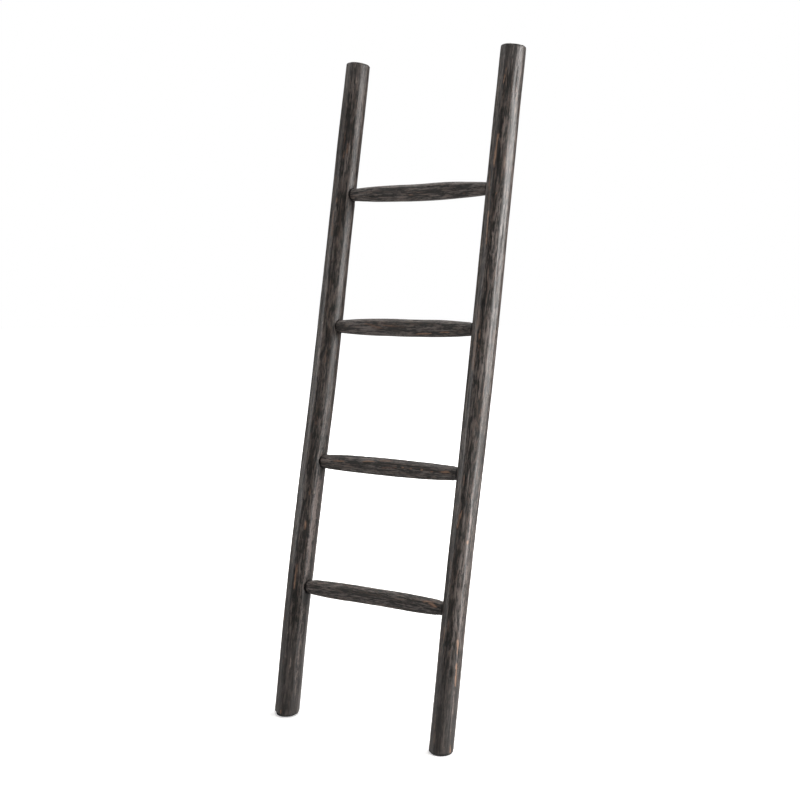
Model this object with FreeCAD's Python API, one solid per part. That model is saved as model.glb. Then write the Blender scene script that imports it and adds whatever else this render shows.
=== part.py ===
import FreeCAD, Part
import os
import math

# Leaning four-rung blanket ladder in hewn round timber.
# +Z up, floor at z = 0, front of the ladder faces -Y, the tops lean towards +Y
# (the wall), +X is the ladder's right as seen from the front.
# Origin: on the floor, under the middle of the ladder's bounding box.

V = FreeCAD.Vector

# ---------------------------------------------------------------- driving dimensions (mm)
# Top cuts, per rail (side: -1 left, 1 right): length on the axis from the level foot (60 in and a little),
# then how far the saw cut is off square, in degrees: rising towards the back, and rising towards +X.
TOP_CUTS = {-1: (1529.5, 6.5, -3.8), 1: (1527.5, 9.0, -4.5)}
RAIL_SPACING = 401.7        # centre to centre of the two rails, at their axes
LEAN_DEG = 12.5             # lean of the rails from the vertical, towards +Y
PAD_THICK = 3.0             # foot pad
PAD_RADIUS = 24.0
TOP_ROUND = 3.0             # worn rim of the rail tops
FOOT_ROUND = 2.0            # softened rim of the feet
TENON_R = 14.0              # round tenon on every rung end
GLUE_GAP = 0.05             # radial glue line in the mortises
TENON_PAST_AXIS = 6.0       # the mortise runs this far past the rail's axis
BRAD_R = 1.0
BRAD_LENGTH = 32.0
BRAD_HEAD_R = 2.0
BRAD_HEAD_THICK = 0.8
BRAD_SINK = 0.6             # the head lies this far under the wood's surface
BRAD_CLEAR = 0.03

# Rail sections: distance along the rail, sideways offset (+X), offset to the
# back, radius. The poles are natural: each has its own bow and taper.
LEFT_RAIL = [
    (-60, 3.2, 0.0, 27.8), (30, 2.4, 0.0, 27.8), (120, 0.1, 0.3, 27.9), (210, -1.9, 0.5, 28.1),
    (300, -2.1, 0.4, 28.7), (390, -2.0, 0.2, 29.0), (480, -1.4, 0.0, 29.1), (570, -0.5, -0.2, 29.0),
    (660, 1.1, -0.4, 28.8), (750, 2.3, -0.5, 28.8), (840, 2.2, -0.5, 28.7), (930, 1.7, -0.4, 28.5),
    (1020, 1.0, -0.2, 28.1), (1110, 0.2, 0.0, 27.8), (1200, -0.3, 0.2, 28.0), (1290, -0.6, 0.3, 28.3),
    (1380, -0.9, 0.3, 28.2), (1470, -0.7, 0.1, 27.9), (1580, -0.5, 0.0, 27.8),
]
RIGHT_RAIL = [
    (-60, 0.6, 0.0, 25.8), (30, 0.5, 0.0, 25.8), (120, 0.2, -0.2, 25.9), (210, -0.5, -0.4, 26.0),
    (300, -1.1, -0.5, 26.2), (390, -1.2, -0.4, 26.4), (480, -0.6, -0.2, 26.7), (570, 0.4, 0.0, 27.1),
    (660, 1.0, 0.2, 27.7), (750, 1.2, 0.4, 28.2), (840, 1.2, 0.5, 28.4), (930, 0.8, 0.5, 28.4),
    (1020, 0.4, 0.4, 28.2), (1110, -0.1, 0.2, 28.2), (1200, -0.3, 0.0, 28.5), (1290, -0.6, -0.1, 28.4),
    (1380, -0.9, -0.2, 28.0), (1470, -0.8, -0.1, 27.9), (1580, -0.6, 0.0, 27.9),
]

# Rungs, bottom to top: height along the rails, then the sections across:
# x, offset along the rail's direction, radius.
RUNGS = [
    ("rung_1", 291.5, [
        (-169, -0.9, 14.2), (-161, -0.85, 16.3), (-135, -0.7, 17.7), (-105, -0.4, 18.5), (-75, 0.2, 18.9),
        (-45, 0.6, 19.0), (-15, 0.95, 18.8), (15, 1.3, 18.6), (45, 1.7, 18.8), (75, 1.6, 18.7),
        (105, 1.3, 18.4), (135, 1.3, 17.6), (161, 1.6, 16.1), (170, 1.7, 14.2)]),
    ("rung_2", 581.8, [
        (-169, -0.8, 14.2), (-161, -0.75, 15.8), (-135, -0.55, 17.4), (-105, -0.3, 18.6), (-75, -0.2, 19.1),
        (-45, -0.1, 19.4), (-15, 0.0, 19.6), (15, -0.1, 19.5), (45, -0.1, 19.1), (75, -0.1, 18.6),
        (105, 0.2, 18.0), (135, 0.5, 16.8), (161, 1.1, 15.3), (170, 1.3, 14.1)]),
    ("rung_3", 897.9, [
        (-169, -0.15, 14.0), (-161, -0.15, 14.9), (-135, -0.15, 16.7), (-105, -0.15, 18.3), (-75, -0.15, 19.2),
        (-45, -0.1, 19.5), (-15, -0.3, 19.6), (15, -0.65, 19.4), (45, -0.6, 19.2), (75, -0.4, 19.1),
        (105, -0.25, 18.4), (135, -0.2, 16.9), (161, 0.0, 15.0), (170, 0.05, 14.0)]),
    ("rung_4", 1211.0, [
        (-169, 0.4, 14.0), (-161, 0.35, 14.6), (-135, 0.1, 16.1), (-105, -0.6, 17.5), (-75, -1.1, 18.3),
        (-45, -1.5, 18.5), (-15, -2.1, 18.5), (15, -2.1, 18.8), (45, -1.5, 19.2), (75, -1.0, 18.9),
        (105, -0.85, 17.6), (135, -0.9, 16.0), (161, -1.05, 14.5), (170, -1.1, 14.0)]),
]

# ---------------------------------------------------------------- helpers
LEAN = math.radians(LEAN_DEG)
U = V(0, math.sin(LEAN), math.cos(LEAN))          # up along the rails
B = V(0, math.cos(LEAN), -math.sin(LEAN))         # square to them, to the back
X = V(1, 0, 0)
HALF = RAIL_SPACING / 2.0
LIFT = V(0, 0, PAD_THICK)                         # the feet stand on their pads


def lerp(table, s, col):
    for a, b in zip(table, table[1:]):
        if a[0] <= s <= b[0]:
            t = (s - a[0]) / (b[0] - a[0])
            return a[col] * (1 - t) + b[col] * t
    return table[-1][col]


def rail_axis(side, table, s):
    return LIFT + X * (side * HALF + lerp(table, s, 1)) + U * s + B * lerp(table, s, 2)


def ring(centre, normal, radius):
    c = Part.Circle(centre, normal, radius)
    return Part.Wire([c.toShape()])


def rail_blank(side, table):
    rings = [ring(LIFT + X * (side * HALF + dx) + U * s + B * db, U, r) for s, dx, db, r in table]
    return Part.makeLoft(rings, True, False, False, 5)


def top_normal(side):
    length, back, sideways = TOP_CUTS[side]
    n = U - B * math.tan(math.radians(back)) - X * math.tan(math.radians(sideways))
    return n.normalize()


def box_at(lo, hi):
    return Part.makeBox(hi.x - lo.x, hi.y - lo.y, hi.z - lo.z, lo)


def rail(side, table):
    blank = rail_blank(side, table)
    # foot cut flat to the floor, resting on its pad
    under = box_at(V(side * HALF - 80, -200, -200), V(side * HALF + 80, 200, PAD_THICK))
    shape = blank.cut(under)
    # top sawn a few degrees out of square
    over = Part.makeCylinder(80, 200, rail_axis(side, table, TOP_CUTS[side][0]), top_normal(side))
    return soften(shape.cut(over))


def foot_rim(shape):
    for f in shape.Faces:
        if isinstance(f.Surface, Part.Plane) and abs(f.normalAt(0, 0).z) > 0.9999 and f.CenterOfMass.z < PAD_THICK + 1:
            return f.OuterWire.Edges
    return []


def top_rim(shape):
    for f in shape.Faces:
        if isinstance(f.Surface, Part.Plane) and abs(f.normalAt(0, 0).dot(U)) > 0.97 and f.CenterOfMass.z > 1000:
            return f.OuterWire.Edges
    return []


def soften(shape):
    # worn rims: the two cut ends are rounded over
    for radius, rim in ((TOP_ROUND, top_rim), (FOOT_ROUND, foot_rim)):
        rounded = shape.makeFillet(radius, rim(shape))
        if not rounded.isValid():
            raise ValueError("a rim could not be rounded")
        shape = rounded.Solids[0]
    return shape


def rung_centre(height, x, off):
    return LIFT + X * x + U * (height + off)


def mortise_floor(side, table, height):
    # x of the mortise's flat floor, past the rail's axis
    return side * (HALF + TENON_PAST_AXIS) + lerp(table, height, 1)


def rung(height, rows, ends):
    rings = [ring(rung_centre(height, x, off), X, r) for x, off, r in rows]
    # the body tapers down to the tenons' radius just inside the rails
    first, last = rows[0], rows[-1]
    rings = [ring(rung_centre(height, first[0] - 6, first[1]), X, TENON_R)] + rings[1:-1] \
        + [ring(rung_centre(height, last[0] + 6, last[1]), X, TENON_R)]
    body = Part.makeLoft(rings, True, False, False, 5)
    x0, x1 = ends
    left = Part.makeCylinder(TENON_R, (first[0] - 6) - x0, rung_centre(height, x0, first[1]), X)
    right = Part.makeCylinder(TENON_R, x1 - (last[0] + 6), rung_centre(height, last[0] + 6, last[1]), X)
    shape = body.fuse([left, right])
    shape = shape.removeSplitter()
    return shape.Solids[0]


# ---------------------------------------------------------------- the wood
left_rail = rail(-1, LEFT_RAIL)
right_rail = rail(1, RIGHT_RAIL)

parts = {}
brads = []
rung_shapes = {}
for name, height, rows in RUNGS:
    x0 = mortise_floor(-1, LEFT_RAIL, height)
    x1 = mortise_floor(1, RIGHT_RAIL, height)
    body = rung(height, rows, (x0, x1))
    for side, table, xf, off in ((-1, LEFT_RAIL, x0, rows[0][1]), (1, RIGHT_RAIL, x1, rows[-1][1])):
        # blind round mortise, open on the rail's inner side
        mouth = side * (HALF - 60)
        a, b = min(xf, mouth), max(xf, mouth)
        hole = Part.makeCylinder(TENON_R + GLUE_GAP, b - a, rung_centre(height, a, off), X)
        # brad from the back, square through the tenon, on the rail's axis
        s = height + off
        axis_pt = rail_axis(side, table, s)
        r = lerp(table, s, 3)
        head_top = axis_pt + B * (r - BRAD_SINK)
        head = Part.makeCylinder(BRAD_HEAD_R, BRAD_HEAD_THICK, head_top - B * BRAD_HEAD_THICK, B)
        shank = Part.makeCylinder(BRAD_R, BRAD_LENGTH - BRAD_HEAD_THICK, head_top - B * BRAD_LENGTH, B)
        brad = head.fuse(shank).removeSplitter().Solids[0]
        brads.append(brad)
        pilot = Part.makeCylinder(BRAD_R + BRAD_CLEAR, BRAD_LENGTH, head_top - B * BRAD_LENGTH, B)
        sink = Part.makeCylinder(BRAD_HEAD_R + 0.1, 12, head_top - B * BRAD_HEAD_THICK, B)
        if side < 0:
            left_rail = left_rail.cut(hole).cut(pilot).cut(sink)
        else:
            right_rail = right_rail.cut(hole).cut(pilot).cut(sink)
        body = body.cut(pilot)
    rung_shapes[name] = body.Solids[0]

pads = {}
for side, table, name in ((-1, LEFT_RAIL, "left_foot_pad"), (1, RIGHT_RAIL, "right_foot_pad")):
    c = rail_axis(side, table, 0.0)
    pads[name] = Part.makeCylinder(PAD_RADIUS, PAD_THICK, V(c.x, c.y, 0), V(0, 0, 1))

parts["left_rail"] = left_rail
parts["right_rail"] = right_rail
for name in rung_shapes:
    parts[name] = rung_shapes[name]
parts.update(pads)
parts["joint_brads"] = Part.makeCompound(brads)

# ---------------------------------------------------------------- origin and export
whole = Part.makeCompound(list(parts.values()))
bb = whole.optimalBoundingBox(False)
move = V(-(bb.XMin + bb.XMax) / 2, -(bb.YMin + bb.YMax) / 2, 0)
print("moved by", round(move.x, 4), round(move.y, 4), "size", round(bb.XLength, 2), round(bb.YLength, 2), round(bb.ZLength, 2), "z from", round(bb.ZMin, 4))

os.makedirs("parts", exist_ok=True)
for name, shape in parts.items():
    shape.translate(move)
    for i, s in enumerate(shape.Solids):
        if not s.isValid():
            print("INVALID", name, i)
    shape.exportStep("parts/%s.step" % name)
    b = shape.BoundBox
    print("%-16s solids %d faces %d vol %.1f cm3  x %.1f..%.1f y %.1f..%.1f z %.1f..%.1f" % (
        name, len(shape.Solids), len(shape.Faces), shape.Volume / 1000, b.XMin, b.XMax, b.YMin, b.YMax, b.ZMin, b.ZMax))

# positions that the interfaces are stated from
for side, table, name in ((-1, LEFT_RAIL, "left"), (1, RIGHT_RAIL, "right")):
    c = rail_axis(side, table, 0.0)
    print(name, "pad centre", round(c.x + move.x, 2), round(c.y + move.y, 2), 0.0)
    r = lerp(table, TOP_CUTS[side][0], 3)
    s = TOP_CUTS[side][0] + math.tan(math.radians(TOP_CUTS[side][1])) * r - TOP_ROUND
    w = rail_axis(side, table, s) + B * r
    print(name, "wall contact", round(w.x + move.x, 2), round(w.y + move.y, 2), round(w.z, 2))
for name, height, rows in RUNGS:
    mid = rung_centre(height, 0, (rows[6][1] + rows[7][1]) / 2)
    rr = (rows[6][2] + rows[7][2]) / 2
    print(name, "centre", round(mid.x + move.x, 2), round(mid.y + move.y, 2), round(mid.z, 2), "r", rr)
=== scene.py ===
import bpy
import math
import numpy as np
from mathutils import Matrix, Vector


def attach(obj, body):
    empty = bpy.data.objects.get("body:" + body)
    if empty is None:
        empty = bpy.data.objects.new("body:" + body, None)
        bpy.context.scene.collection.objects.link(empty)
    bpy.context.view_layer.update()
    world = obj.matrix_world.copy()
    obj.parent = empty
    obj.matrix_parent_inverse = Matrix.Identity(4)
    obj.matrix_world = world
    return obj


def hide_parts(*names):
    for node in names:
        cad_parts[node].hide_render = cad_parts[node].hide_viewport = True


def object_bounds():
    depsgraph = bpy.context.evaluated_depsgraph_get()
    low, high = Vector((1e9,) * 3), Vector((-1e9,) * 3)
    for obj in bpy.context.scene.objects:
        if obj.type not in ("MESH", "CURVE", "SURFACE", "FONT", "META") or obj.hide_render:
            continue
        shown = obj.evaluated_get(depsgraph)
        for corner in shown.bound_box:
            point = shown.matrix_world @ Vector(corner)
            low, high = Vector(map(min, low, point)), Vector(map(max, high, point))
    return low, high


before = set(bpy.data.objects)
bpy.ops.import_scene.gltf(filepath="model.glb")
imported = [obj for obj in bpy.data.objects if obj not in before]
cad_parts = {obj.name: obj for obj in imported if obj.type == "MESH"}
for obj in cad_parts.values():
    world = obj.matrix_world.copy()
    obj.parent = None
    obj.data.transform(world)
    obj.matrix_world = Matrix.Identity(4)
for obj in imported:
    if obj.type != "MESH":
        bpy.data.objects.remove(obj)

CAD_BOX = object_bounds()
CAD_LO = np.array(CAD_BOX[0], float) * 1000.0
CAD_HI = np.array(CAD_BOX[1], float) * 1000.0

# Everything below is worked out in millimetres and written to the meshes in metres.
# Blanket ladder leaning on a wall: two hewn round rails, four hewn round rungs with
# round tenons in blind mortises, a brad from the back through every tenon, foot pads.

# ------------------------------------------------------------------ the CAD's own numbers
LEAN = math.radians(12.5)
U = np.array([0.0, math.sin(LEAN), math.cos(LEAN)])      # up along the rails
B = np.array([0.0, math.cos(LEAN), -math.sin(LEAN)])     # square to them, to the back
X = np.array([1.0, 0.0, 0.0])
ORIGIN = np.array([0.701, -165.3632, 3.0])
HALF = 200.85
TOP_CUTS = {-1: (1529.5, 6.5, -3.8), 1: (1527.5, 9.0, -4.5)}
TOP_ROUND = 3.0
FOOT_ROUND = 1.4
TENON_R = 14.0

LEFT_RAIL = [
    (-60, 3.2, 0.0, 27.8), (30, 2.4, 0.0, 27.8), (120, 0.1, 0.3, 27.9), (210, -1.9, 0.5, 28.1),
    (300, -2.1, 0.4, 28.7), (390, -2.0, 0.2, 29.0), (480, -1.4, 0.0, 29.1), (570, -0.5, -0.2, 29.0),
    (660, 1.1, -0.4, 28.8), (750, 2.3, -0.5, 28.8), (840, 2.2, -0.5, 28.7), (930, 1.7, -0.4, 28.5),
    (1020, 1.0, -0.2, 28.1), (1110, 0.2, 0.0, 27.8), (1200, -0.3, 0.2, 28.0), (1290, -0.6, 0.3, 28.3),
    (1380, -0.9, 0.3, 28.2), (1470, -0.7, 0.1, 27.9), (1580, -0.5, 0.0, 27.8),
]
RIGHT_RAIL = [
    (-60, 0.6, 0.0, 25.8), (30, 0.5, 0.0, 25.8), (120, 0.2, -0.2, 25.9), (210, -0.5, -0.4, 26.0),
    (300, -1.1, -0.5, 26.2), (390, -1.2, -0.4, 26.4), (480, -0.6, -0.2, 26.7), (570, 0.4, 0.0, 27.1),
    (660, 1.0, 0.2, 27.7), (750, 1.2, 0.4, 28.2), (840, 1.2, 0.5, 28.4), (930, 0.8, 0.5, 28.4),
    (1020, 0.4, 0.4, 28.2), (1110, -0.1, 0.2, 28.2), (1200, -0.3, 0.0, 28.5), (1290, -0.6, -0.1, 28.4),
    (1380, -0.9, -0.2, 28.0), (1470, -0.8, -0.1, 27.9), (1580, -0.6, 0.0, 27.9),
]
RUNGS = [
    ("rung_1", 291.5, [
        (-169, -0.9, 14.2), (-161, -0.85, 16.3), (-135, -0.7, 17.7), (-105, -0.4, 18.5), (-75, 0.2, 18.9),
        (-45, 0.6, 19.0), (-15, 0.95, 18.8), (15, 1.3, 18.6), (45, 1.7, 18.8), (75, 1.6, 18.7),
        (105, 1.3, 18.4), (135, 1.3, 17.6), (161, 1.6, 16.1), (170, 1.7, 14.2)]),
    ("rung_2", 581.8, [
        (-169, -0.8, 14.2), (-161, -0.75, 15.8), (-135, -0.55, 17.4), (-105, -0.3, 18.6), (-75, -0.2, 19.1),
        (-45, -0.1, 19.4), (-15, 0.0, 19.6), (15, -0.1, 19.5), (45, -0.1, 19.1), (75, -0.1, 18.6),
        (105, 0.2, 18.0), (135, 0.5, 16.8), (161, 1.1, 15.3), (170, 1.3, 14.1)]),
    ("rung_3", 897.9, [
        (-169, -0.15, 14.0), (-161, -0.15, 14.9), (-135, -0.15, 16.7), (-105, -0.15, 18.3), (-75, -0.15, 19.2),
        (-45, -0.1, 19.5), (-15, -0.3, 19.6), (15, -0.65, 19.4), (45, -0.6, 19.2), (75, -0.4, 19.1),
        (105, -0.25, 18.4), (135, -0.2, 16.9), (161, 0.0, 15.0), (170, 0.05, 14.0)]),
    ("rung_4", 1211.0, [
        (-169, 0.4, 14.0), (-161, 0.35, 14.6), (-135, 0.1, 16.1), (-105, -0.6, 17.5), (-75, -1.1, 18.3),
        (-45, -1.5, 18.5), (-15, -2.1, 18.5), (15, -2.1, 18.8), (45, -1.5, 19.2), (75, -1.0, 18.9),
        (105, -0.85, 17.6), (135, -0.9, 16.0), (161, -1.05, 14.5), (170, -1.1, 14.0)]),
]

# ------------------------------------------------------------------ wear and figure in the wood
# kind, strength, width (mm), then the two ends: place along the piece (mm) and angle round it (degrees).
# T rubbed through to tan wood, B brown rub, P pale worn edge (on the left rail also two wide bands of painted
# highlight), D dark streak or dent.
# Rails: angle 0 faces +X, -90 the front. Rungs: 90 is up, 180 the front.
RIGHT_MARKS = [
    ('T', 0.80, 3.6, 1450, -90, 1435, -93), ('T', 0.30, 3.2, 1435, -93, 1418, -105), ('B', 0.70, 3.6, 1467, -86, 1460, -87),
    ('T', 1.00, 4.3, 1317, -92, 1257, -99), ('T', 0.35, 3.6, 1257, -99, 1233, -96), ('P', 0.50, 4.5, 1433, -31, 1416, -29),
    ('D', 0.80, 5.7, 1372, -86, 1332, -82), ('D', 1.00, 6.8, 1303, -85, 1233, -76), ('T', 0.60, 2.7, 1192, -72, 1187, -75),
    ('B', 0.60, 6.8, 1237, -118, 1161, -108), ('T', 0.90, 3.9, 1150, -103, 1080, -96), ('T', 0.60, 4.5, 1137, -102, 1111, -100),
    ('P', 0.60, 3.6, 1106, -72, 1089, -71), ('D', 0.70, 5.0, 1074, -61, 1061, -61), ('D', 0.90, 6.8, 1049, -76, 1036, -76),
    ('D', 0.80, 5.5, 1041, -64, 1007, -61), ('D', 0.70, 6.8, 973, -83, 928, -82), ('B', 0.70, 6.8, 943, -106, 895, -102),
    ('T', 0.60, 4.1, 892, -87, 878, -86), ('B', 0.80, 6.8, 882, -87, 856, -83), ('D', 0.70, 4.5, 889, -79, 857, -77),
    ('P', 0.45, 5.0, 978, 11, 940, 20), ('B', 0.80, 10.2, 889, -105, 813, -102), ('P', 0.50, 2.7, 685, -36, 674, -35),
    ('B', 0.70, 4.1, 579, -87, 559, -85), ('P', 0.70, 3.2, 547, -45, 531, -43), ('P', 0.70, 3.0, 521, -39, 502, -35),
    ('P', 1.00, 4.3, 500, -37, 474, -34), ('P', 0.75, 3.4, 474, -35, 447, -31), ('P', 0.50, 3.0, 447, -31, 442, -36),
    ('T', 0.85, 5.0, 444, -36, 438, -38), ('T', 0.80, 3.9, 505, -82, 471, -93), ('P', 0.50, 3.2, 436, -37, 403, -32),
    ('P', 0.80, 3.9, 390, -29, 363, -26), ('P', 0.55, 3.6, 359, -28, 312, -24), ('P', 0.60, 3.4, 310, -27, 272, -26),
    ('B', 0.60, 5.9, 395, -108, 380, -106), ('P', 0.50, 3.6, 380, -108, 363, -107), ('P', 0.45, 3.6, 383, -51, 358, -47),
    ('P', 0.30, 3.2, 343, -64, 324, -62), ('B', 0.70, 3.6, 272, -88, 253, -87), ('B', 0.90, 4.1, 256, -109, 227, -104),
    ('T', 0.55, 3.0, 249, -108, 235, -107), ('P', 0.40, 3.6, 268, -86, 253, -84), ('P', 0.60, 3.9, 277, -29, 245, -28),
    ('T', 0.40, 3.4, 251, -36, 233, -35), ('T', 0.90, 4.1, 235, -37, 208, -34), ('P', 0.40, 3.4, 208, -35, 183, -31),
    ('T', 0.95, 4.3, 183, -31, 141, -26), ('P', 0.60, 7.7, 127, -31, 83, -28), ('P', 0.50, 3.4, 100, -37, 42, -29),
    ('P', 0.40, 3.2, 113, -113, 97, -110), ('B', 0.40, 6.8, 74, -112, 23, -102), ('T', 0.75, 4.4, 14, -17, 4, -16),
    ('T', 0.60, 2.7, 0, -5, -4, -49), ('P', 0.40, 2.5, 19, -53, 4, -52), ('D', 0.50, 6.8, 184, -59, 149, -55),
    # round the back and the far sides, where the photo shows nothing
    ('T', 0.80, 4.2, 1396, 118, 1338, 121), ('B', 0.70, 6.5, 1240, 64, 1165, 70), ('P', 0.60, 4.0, 1110, 152, 1066, 149),
    ('T', 0.70, 3.6, 968, 98, 931, 96), ('D', 0.80, 6.0, 842, 60, 790, 57), ('B', 0.80, 7.0, 760, 133, 693, 137),
    ('T', 0.90, 4.4, 655, 52, 601, 49), ('P', 0.55, 3.8, 548, 118, 500, 121), ('D', 0.70, 5.5, 455, 158, 402, 155),
    ('T', 0.60, 3.8, 386, 84, 351, 82), ('B', 0.70, 6.0, 255, 128, 196, 132), ('T', 0.80, 4.8, 62, 98, 14, 95),
]
LEFT_MARKS = [
    # the first two are wide pale bands laid along the flat that takes the key light's highlight low on the rail: a
    # painted highlight
    ('P', 0.72, 13.0, 325, -27, 540, -23), ('P', 0.42, 11.0, 55, -25, 240, -25),
    ('P', 0.60, 4.1, 1489, -55, 1474, -57), ('D', 0.60, 3.6, 1490, -66, 1471, -66), ('D', 0.90, 4.1, 1519, -13, 1512, -15),
    ('D', 0.60, 5.5, 1386, -67, 1364, -65), ('B', 0.60, 4.1, 1350, -80, 1330, -81), ('B', 0.70, 6.8, 1326, -62, 1307, -63),
    ('T', 0.70, 3.6, 1309, -77, 1294, -77), ('B', 0.70, 4.5, 1253, -112, 1236, -110), ('T', 0.50, 3.4, 1199, -88, 1189, -88),
    ('B', 1.00, 6.8, 1163, -103, 1113, -95), ('P', 0.60, 3.4, 708, -95, 703, -95), ('B', 0.50, 4.1, 684, -65, 675, -65),
    ('B', 0.50, 3.6, 672, -68, 663, -68), ('P', 0.50, 3.0, 651, -12, 646, -12), ('D', 0.60, 3.2, 612, -18, 604, -18),
    ('B', 0.60, 4.1, 517, -58, 501, -57), ('T', 0.80, 3.9, 440, -60, 423, -60), ('P', 0.80, 3.6, 445, -29, 419, -27),
    ('P', 0.50, 2.7, 359, -50, 355, -19), ('T', 1.00, 4.8, 334, -77, 286, -79), ('P', 0.70, 3.2, 245, -35, 240, -36),
    ('T', 0.60, 5.0, 230, -127, 207, -125), ('P', 0.60, 3.0, 186, -86, 181, -87), ('P', 0.60, 3.4, 139, -89, 126, -89),
    ('P', 0.90, 3.9, 124, -61, 110, -60), ('P', 0.60, 3.4, 110, -63, 96, -64), ('B', 0.60, 4.1, 121, -96, 107, -96),
    ('T', 0.70, 4.1, 12, -84, 3, -86), ('P', 0.50, 5.5, 901, -92, 868, -90), ('P', 0.60, 5.9, 838, -95, 800, -92),
    ('B', 0.50, 4.1, 834, -59, 811, -57),
    # round the back and the far sides, where the photo shows nothing
    ('T', 0.80, 4.0, 1441, 131, 1392, 128), ('P', 0.60, 4.2, 1302, 66, 1251, 63), ('B', 0.80, 7.0, 1152, 118, 1078, 122),
    ('T', 0.75, 4.4, 1021, 168, 968, 171), ('D', 0.80, 6.0, 930, 96, 866, 99), ('B', 0.70, 6.0, 804, 144, 741, 140),
    ('T', 0.85, 4.6, 690, 62, 637, 66), ('P', 0.60, 3.6, 541, 126, 488, 123), ('D', 0.60, 5.4, 452, 176, 390, 172),
    ('T', 0.70, 4.0, 331, 108, 280, 111), ('B', 0.70, 6.4, 196, 70, 122, 66), ('T', 0.80, 4.8, 44, 142, 10, 140),
]
RUNG_MARKS = {
    "rung_1": [
        ('T', 0.55, 6.8, 133, 145, 149, 139), ('T', 0.75, 7.3, 148, 151, 158, 165), ('P', 0.55, 5.9, -60, 135, -14, 137),
        ('P', 0.50, 4.1, 16, 196, 41, 186), ('P', 0.60, 3.2, -76, 262, -54, 245), ('P', 0.60, 3.2, -11, 225, 5, 222),
        ('P', 0.60, 3.2, 52, 236, 68, 228), ('T', 0.70, 3.8, -120, 58, -78, 52), ('B', 0.70, 5.0, 40, 20, 96, 14)],
    "rung_2": [
        ('P', 1.00, 7.3, -170, 171, -153, 169), ('T', 0.60, 4.1, -133, 173, -108, 167), ('T', 0.60, 3.6, -55, 158, -29, 151),
        ('T', 0.55, 3.6, -13, 142, 16, 132), ('T', 0.40, 4.5, -4, 187, 32, 179), ('T', 0.70, 3.2, 44, 173, 49, 173),
        ('T', 0.70, 3.2, 65, 174, 70, 173), ('T', 0.70, 3.0, 92, 175, 97, 175), ('T', 0.70, 3.2, 116, 182, 121, 180),
        ('T', 1.00, 3.6, 141, 179, 158, 177), ('B', 0.70, 5.0, -90, 30, -30, 24), ('T', 0.70, 3.6, 60, 66, 92, 60)],
    "rung_3": [
        ('B', 0.70, 4.5, -88, 164, -43, 197), ('B', 0.50, 3.6, -70, 191, -49, 211), ('T', 0.35, 5.5, -39, 176, 11, 186),
        ('T', 0.80, 3.4, 42, 229, 79, 225), ('T', 0.80, 3.2, 103, 215, 122, 214), ('P', 0.50, 3.2, -28, 265, 9, 263),
        ('T', 0.75, 4.0, -140, 40, -98, 46), ('B', 0.70, 5.2, 30, 344, 92, 350)],
    "rung_4": [
        ('B', 0.60, 3.6, -12, 210, -2, 213), ('D', 0.80, 3.0, 32, 161, 38, 162), ('D', 0.80, 3.0, 114, 175, 119, 175),
        ('T', 0.70, 3.2, 121, 224, 125, 225), ('T', 0.70, 3.8, -60, 38, -14, 32), ('B', 0.70, 5.0, 70, 350, 128, 346)],
}
# knots: place along, angle, half-length, half-width (mm)
KNOTS = {
    "left_rail": [(607, -18, 5, 3.5), (1250, 96, 13, 8), (420, 140, 12, 8), (900, 62, 10, 6)],
    "right_rail": [(1043, -76, 9, 5.5), (866, -81, 12, 5.5), (166, -57, 13, 6), (1180, 128, 12, 8), (600, 150, 13, 8)],
    "rung_1": [(90, 40, 8, 5)],
    "rung_2": [(-60, 100, 7, 4)],
    "rung_3": [(70, 20, 8, 5)],
    "rung_4": [(-112.5, 212, 11.5, 4.2), (60, 62, 7, 4)],
}
# arrises between the hewn flats, degrees round the piece: at its start, then at its end
RIGHT_ARRISES = ([-101, -67, -32, 4, 40, 76, 112, 148, 184, 221], [-97, -75, -52, -14, 27, 66, 104, 143, 182, 222])
LEFT_ARRISES = ([-93, -66, -36, 0, 36, 72, 108, 146, 186, 226], [-90, -66, -41, -6, 31, 69, 107, 146, 187, 229])
RUNG_ARRISES = {
    "rung_1": ([-4, 44, 92, 139, 191, 242, 300], [-8, 46, 95, 142, 188, 240, 296]),
    "rung_2": ([8, 55, 101, 147, 200, 254, 308], [4, 52, 100, 150, 196, 250, 304]),
    "rung_3": ([-10, 40, 88, 141, 196, 246, 298], [-6, 44, 90, 147, 194, 248, 302]),
    "rung_4": ([2, 50, 96, 150, 204, 256, 306], [-2, 48, 98, 146, 200, 252, 302]),
}


# ------------------------------------------------------------------ deterministic noise
def hashed(ix, iy, iz, seed):
    a = ix.astype(np.int64).astype(np.uint64)
    b = iy.astype(np.int64).astype(np.uint64)
    c = iz.astype(np.int64).astype(np.uint64)
    m = np.uint64(0xFFFFFFFF)
    h = (a * np.uint64(374761393) + b * np.uint64(668265263) + c * np.uint64(2246822519)
         + np.uint64((seed * 3266489917) & 0xFFFFFFFF)) & m
    h = ((h ^ (h >> np.uint64(13))) * np.uint64(1274126177)) & m
    h = ((h ^ (h >> np.uint64(16))) * np.uint64(2654435761)) & m
    h = h ^ (h >> np.uint64(15))
    return (h & np.uint64(0xFFFF)).astype(float) / 32767.5 - 1.0


def noise(x, y, z, seed):
    x, y, z = np.broadcast_arrays(np.asarray(x, float), np.asarray(y, float), np.asarray(z, float))
    fx, fy, fz = np.floor(x), np.floor(y), np.floor(z)
    tx, ty, tz = x - fx, y - fy, z - fz
    tx = tx * tx * tx * (tx * (tx * 6 - 15) + 10)
    ty = ty * ty * ty * (ty * (ty * 6 - 15) + 10)
    tz = tz * tz * tz * (tz * (tz * 6 - 15) + 10)
    out = 0.0
    for dx in (0, 1):
        wx = tx if dx else 1 - tx
        for dy in (0, 1):
            wy = ty if dy else 1 - ty
            for dz in (0, 1):
                wz = tz if dz else 1 - tz
                out = out + wx * wy * wz * hashed(fx + dx, fy + dy, fz + dz, seed)
    return out


def along(s, period, seed):
    return noise(np.asarray(s, float) / period + 0.37 * seed, seed * 1.7 + 0.31, 0.53, seed)


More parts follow.
